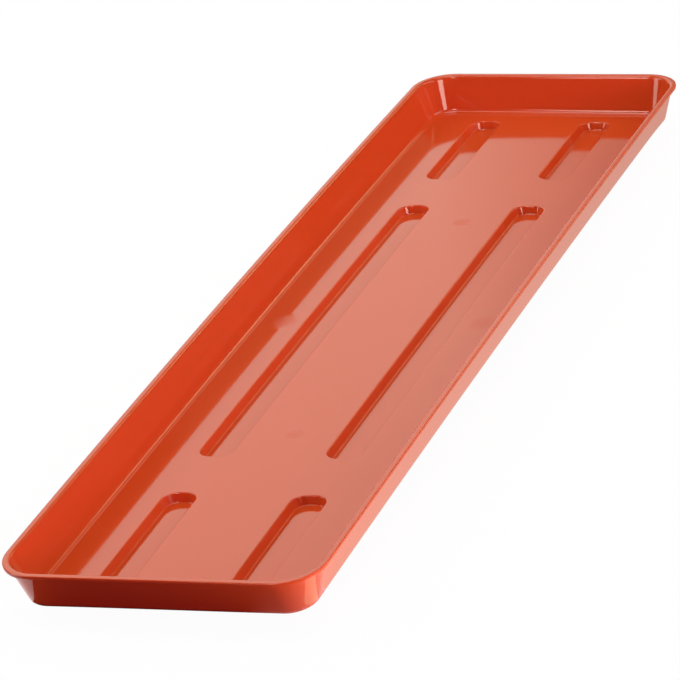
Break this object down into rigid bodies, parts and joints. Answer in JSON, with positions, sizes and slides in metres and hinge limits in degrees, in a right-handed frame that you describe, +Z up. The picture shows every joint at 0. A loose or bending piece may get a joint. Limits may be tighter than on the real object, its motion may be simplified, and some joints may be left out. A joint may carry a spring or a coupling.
{
  "type": "planter trough saucer",
  "caption": "Long shallow rectangular drip tray with rounded corners, leaning walls, a narrow flat rim and pressed floor channels that form its feet, for standing under a planter trough.",
  "frame": {"origin": "under the middle of the tray, on the plane that the feet stand on", "axes": "+X along the length, +Y across the width, +Z up out of the tray"},
  "size_m": [0.6, 0.165, 0.0266],
  "materials": {
    "terracotta_plastic": "glossy moulded polypropylene, terracotta red"
  },
  "bodies": {
    "root": {"tray": "terracotta_plastic"}
  },
  "joints": []
}
